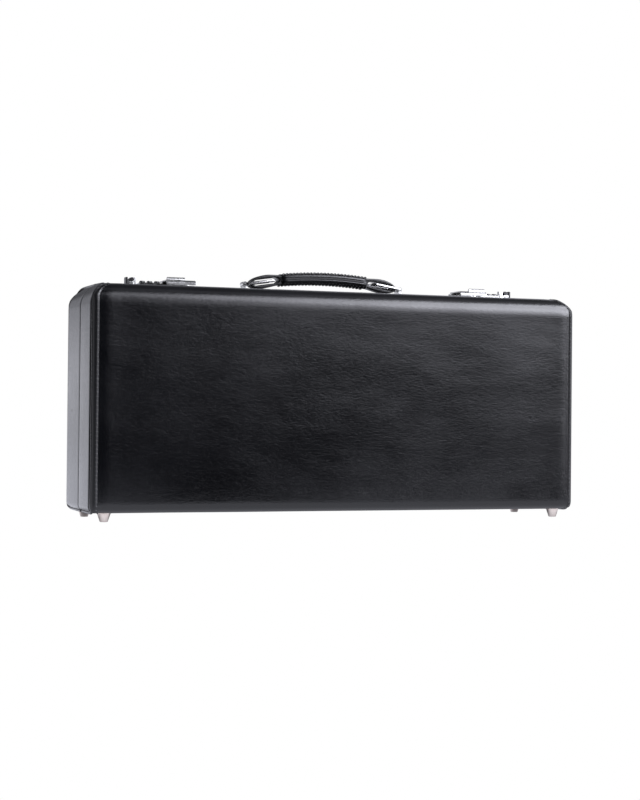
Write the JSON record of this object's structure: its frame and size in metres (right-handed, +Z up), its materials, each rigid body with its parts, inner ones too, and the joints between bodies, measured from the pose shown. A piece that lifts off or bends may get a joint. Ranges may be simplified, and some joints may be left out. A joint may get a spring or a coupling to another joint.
{
  "type": "clarinet case",
  "caption": "Hard leather-covered instrument case with a front lid on a bottom hinge, combination locks, ring-hung handle and fitted tray.",
  "frame": {"origin": "on the floor under the middle of the case", "axes": "+X along the case, +Y from the front face to the back, +Z up"},
  "size_m": [0.532, 0.1246, 0.2598],
  "materials": {
    "leather": "smooth black leather with a fine grain",
    "edge_leather": "black piping and strap leather",
    "board": "bare board",
    "plush": "short dark plush",
    "nickel": "polished nickel",
    "warm_nickel": "polished nickel with a warm tone",
    "steel": "plain steel",
    "dial": "dark wheels with pale numbers"
  },
  "bodies": {
    "base": {"base_shell": "board", "base_cover": "leather", "base_end_cover_left": "leather", "base_piping_left": "edge_leather", "base_foot_left": "warm_nickel", "base_end_cover_right": "leather", "base_piping_right": "edge_leather", "base_foot_right": "warm_nickel", "base_hinge_leaf": "steel", "hinge_pin": "steel", "base_tongue": "edge_leather", "base_tray": "plush", "lock_body_left": "nickel", "dial_axle_left": "steel", "hasp_pin_left": "steel", "handle_post_left": "nickel", "lock_body_right": "nickel", "dial_axle_right": "steel", "hasp_pin_right": "steel", "handle_post_right": "nickel"},
    "lid": {"keeper_left": "nickel", "keeper_right": "nickel", "lid_shell": "board", "lid_cover": "leather", "lid_end_cover_left": "leather", "lid_piping_left": "edge_leather", "lid_foot_left": "warm_nickel", "lid_end_cover_right": "leather", "lid_piping_right": "edge_leather", "lid_foot_right": "warm_nickel", "lid_hinge_leaf": "steel", "lid_lining": "plush"},
    "handle": {"handle_grip": "edge_leather"},
    "accessory_lid": {"accessory_lid": "plush", "accessory_tab": "edge_leather"},
    "hasp_left": {"hasp_left": "nickel"},
    "knob_left": {"lock_knob_left": "nickel"},
    "ring_left": {"handle_ring_left": "nickel"},
    "dial_left_1": {"dial_left_1": "dial"},
    "dial_left_2": {"dial_left_2": "dial"},
    "dial_left_3": {"dial_left_3": "dial"},
    "hasp_right": {"hasp_right": "nickel"},
    "knob_right": {"lock_knob_right": "nickel"},
    "ring_right": {"handle_ring_right": "nickel"},
    "dial_right_1": {"dial_right_1": "dial"},
    "dial_right_2": {"dial_right_2": "dial"},
    "dial_right_3": {"dial_right_3": "dial"}
  },
  "joints": [
    {"name": "lid_hinge", "type": "hinge", "parent": "base", "child": "lid", "pos_m": [0, -0.007, 0.0086], "axis": [1, 0, 0], "range_deg": [0, 105]},
    {"name": "accessory_lid_hinge", "type": "hinge", "parent": "base", "child": "accessory_lid", "pos_m": [0.203, 0.0035, 0.0285], "axis": [1, 0, 0], "range_deg": [0, 95]},
    {"name": "handle_lift", "type": "slide", "parent": "base", "child": "handle", "axis": [0, 0, 1], "range_m": [0, 0.023]},
    {"name": "ring_left_swing", "type": "hinge", "parent": "base", "child": "ring_left", "pos_m": [-0.088, 0.0115, 0.2453], "axis": [0, -1, 0], "range_deg": [0, 46.5]},
    {"name": "hasp_left_hinge", "type": "hinge", "parent": "base", "child": "hasp_left", "pos_m": [-0.165, 0.0114, 0.241], "axis": [-1, 0, 0], "range_deg": [0, 85]},
    {"name": "knob_left_slide", "type": "slide", "parent": "base", "child": "knob_left", "axis": [-1, 0, 0], "range_m": [0, 0.003], "stiffness_N_per_m": 200},
    {"name": "dial_left_1_turn", "type": "hinge", "parent": "base", "child": "dial_left_1", "pos_m": [-0.1846, 0.0032, 0.2387], "axis": [1, 0, 0], "continuous": true},
    {"name": "dial_left_2_turn", "type": "hinge", "parent": "base", "child": "dial_left_2", "pos_m": [-0.1923, 0.0032, 0.2387], "axis": [1, 0, 0], "continuous": true},
    {"name": "dial_left_3_turn", "type": "hinge", "parent": "base", "child": "dial_left_3", "pos_m": [-0.2, 0.0032, 0.2387], "axis": [1, 0, 0], "continuous": true},
    {"name": "ring_right_swing", "type": "hinge", "parent": "base", "child": "ring_right", "pos_m": [0.088, 0.0115, 0.2453], "axis": [0, 1, 0], "range_deg": [0, 46.5]},
    {"name": "hasp_right_hinge", "type": "hinge", "parent": "base", "child": "hasp_right", "pos_m": [0.165, 0.0114, 0.241], "axis": [-1, 0, 0], "range_deg": [0, 85]},
    {"name": "knob_right_slide", "type": "slide", "parent": "base", "child": "knob_right", "axis": [1, 0, 0], "range_m": [0, 0.003], "stiffness_N_per_m": 200},
    {"name": "dial_right_1_turn", "type": "hinge", "parent": "base", "child": "dial_right_1", "pos_m": [0.1846, 0.0032, 0.2387], "axis": [1, 0, 0], "continuous": true},
    {"name": "dial_right_2_turn", "type": "hinge", "parent": "base", "child": "dial_right_2", "pos_m": [0.1923, 0.0032, 0.2387], "axis": [1, 0, 0], "continuous": true},
    {"name": "dial_right_3_turn", "type": "hinge", "parent": "base", "child": "dial_right_3", "pos_m": [0.2, 0.0032, 0.2387], "axis": [1, 0, 0], "continuous": true}
  ],
  "couplings": [
    {"joint": "ring_left_swing", "follows": "handle_lift", "rad_per_m": 35.286},
    {"joint": "ring_right_swing", "follows": "handle_lift", "rad_per_m": 35.286}
  ]
}
